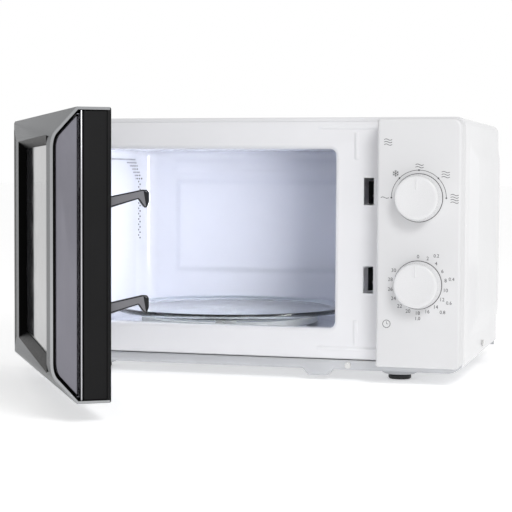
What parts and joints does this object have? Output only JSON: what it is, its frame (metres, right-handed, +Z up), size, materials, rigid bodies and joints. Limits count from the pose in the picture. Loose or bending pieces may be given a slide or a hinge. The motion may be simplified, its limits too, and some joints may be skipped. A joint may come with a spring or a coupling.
{
  "type": "microwave oven",
  "caption": "Countertop microwave oven with a side-hinged door standing open, two rotary dials beside the cavity and a glass turntable on rollers inside.",
  "frame": {"origin": "bottom centre of the box round the whole oven with its door open as shown, on the surface that its feet stand on", "axes": "+Z up, +Y from the front of the oven to its rear, +X to the right as seen from the front"},
  "size_m": [0.4488, 0.6074, 0.2508],
  "materials": {
    "white_steel": "smooth white powder coat",
    "enamel": "glossy pale enamel",
    "base_grey": "satin zinc-plated sheet",
    "rubber": "matt",
    "black_plastic": "fine matt moulding",
    "zinc": "bright zinc plate",
    "white_plastic": "smooth satin moulding",
    "ceramic": "matt",
    "aluminium": "satin",
    "mica": "matt layered sheet",
    "iron": "varnished laminations",
    "copper": "enamelled wire",
    "glass": "clear, slightly green",
    "dark_glass": "polished, dark tinted",
    "door_silver": "silver-grey metallic lacquer",
    "silver_plastic": "bright silver lacquer",
    "grip_plastic": "glossy dark grey",
    "grey_plastic": "smooth matt"
  },
  "bodies": {
    "oven": {"outer_casing": "white_steel", "front_frame": "white_steel", "cavity_liner": "enamel", "base_plate": "base_grey", "rear_plate": "base_grey", "foot_front_left": "rubber", "foot_front_right": "rubber", "foot_rear_left": "rubber", "foot_rear_right": "rubber", "rear_spacer": "black_plastic", "cord_gland": "black_plastic", "base_screw": "zinc", "side_screw_left": "zinc", "side_screw_right": "zinc", "control_panel": "white_plastic", "power_switch": "black_plastic", "timer_unit": "ceramic", "waveguide": "aluminium", "magnetron": "aluminium", "waveguide_cover": "mica", "transformer_core": "iron", "transformer_winding": "copper", "hv_capacitor": "aluminium", "capacitor_clamp": "iron", "line_filter": "black_plastic", "fan_duct": "white_plastic", "fan_motor": "iron", "lamp_holder": "zinc", "cavity_lamp": "glass", "thermal_cutout": "ceramic", "turntable_motor": "zinc", "latch_board": "white_plastic", "primary_switch": "black_plastic", "monitor_switch": "black_plastic", "hinge_bracket_upper": "zinc", "hinge_bracket_lower": "zinc"},
    "door": {"door_shell": "door_silver", "door_window": "dark_glass", "door_screen": "enamel", "choke_cover": "black_plastic", "end_strip": "silver_plastic", "end_grip": "grip_plastic", "door_hinge_upper": "zinc", "door_hinge_lower": "zinc", "latch_spring": "zinc"},
    "latch": {"latch_hooks": "grey_plastic"},
    "power_dial": {"power_knob": "white_plastic", "power_shaft": "zinc"},
    "timer_dial": {"timer_knob": "white_plastic", "timer_shaft": "zinc"},
    "tray": {"turntable": "glass", "drive_coupler": "white_plastic"},
    "roller_ring": {"roller_ring": "white_plastic"},
    "roller_1": {"roller_1": "white_plastic"},
    "roller_2": {"roller_2": "white_plastic"},
    "roller_3": {"roller_3": "white_plastic"},
    "fan": {"fan_blade": "white_plastic"},
    "primary_button": {"primary_plunger": "grey_plastic"},
    "monitor_button": {"monitor_plunger": "grey_plastic"}
  },
  "joints": [
    {"name": "door_hinge", "type": "hinge", "parent": "oven", "child": "door", "pos_m": [-0.2056, 0.01061, 0.13], "axis": [0, 0, -1], "range_deg": [-58.1, 31.9]},
    {"name": "latch_slide", "type": "slide", "parent": "door", "child": "latch", "axis": [0, 0, 1], "range_m": [0, 0.004], "stiffness_N_per_m": 300, "springref_m": -0.003},
    {"name": "power_dial_turn", "type": "hinge", "parent": "oven", "child": "power_dial", "pos_m": [0.18295, -0.00329, 0.175], "axis": [0, 1, 0], "range_deg": [-90, 90]},
    {"name": "timer_dial_turn", "type": "hinge", "parent": "oven", "child": "timer_dial", "pos_m": [0.18295, -0.00329, 0.095], "axis": [0, 1, 0], "range_deg": [0, 300]},
    {"name": "tray_spin", "type": "hinge", "parent": "oven", "child": "tray", "pos_m": [-0.04305, 0.15256, 0.0516], "axis": [0, 0, 1], "continuous": true},
    {"name": "ring_spin", "type": "hinge", "parent": "oven", "child": "roller_ring", "pos_m": [-0.04305, 0.15256, 0.04495], "axis": [0, 0, 1], "continuous": true},
    {"name": "roller_1_spin", "type": "hinge", "parent": "roller_ring", "child": "roller_1", "pos_m": [-0.02406, 0.05489, 0.04495], "axis": [0.1908, -0.9816, 0], "continuous": true},
    {"name": "roller_2_spin", "type": "hinge", "parent": "roller_ring", "child": "roller_2", "pos_m": [0.03204, 0.21784, 0.04495], "axis": [0.7547, 0.6561, 0], "continuous": true},
    {"name": "roller_3_spin", "type": "hinge", "parent": "roller_ring", "child": "roller_3", "pos_m": [-0.13713, 0.18495, 0.04495], "axis": [-0.9455, 0.3256, 0], "continuous": true},
    {"name": "fan_spin", "type": "hinge", "parent": "oven", "child": "fan", "pos_m": [0.162, 0.23941, 0.168], "axis": [0, 1, 0], "continuous": true},
    {"name": "primary_press", "type": "slide", "parent": "oven", "child": "primary_button", "axis": [0, 1, 0], "range_m": [0, 0.0015], "stiffness_N_per_m": 200, "springref_m": -0.002},
    {"name": "monitor_press", "type": "slide", "parent": "oven", "child": "monitor_button", "axis": [0, 1, 0], "range_m": [0, 0.0015], "stiffness_N_per_m": 200, "springref_m": -0.002}
  ],
  "couplings": [
    {"joint": "ring_spin", "follows": "tray_spin", "ratio": 0.5},
    {"joint": "roller_1_spin", "follows": "tray_spin", "ratio": -7.4812},
    {"joint": "roller_2_spin", "follows": "tray_spin", "ratio": -7.4812},
    {"joint": "roller_3_spin", "follows": "tray_spin", "ratio": -7.4812}
  ]
}
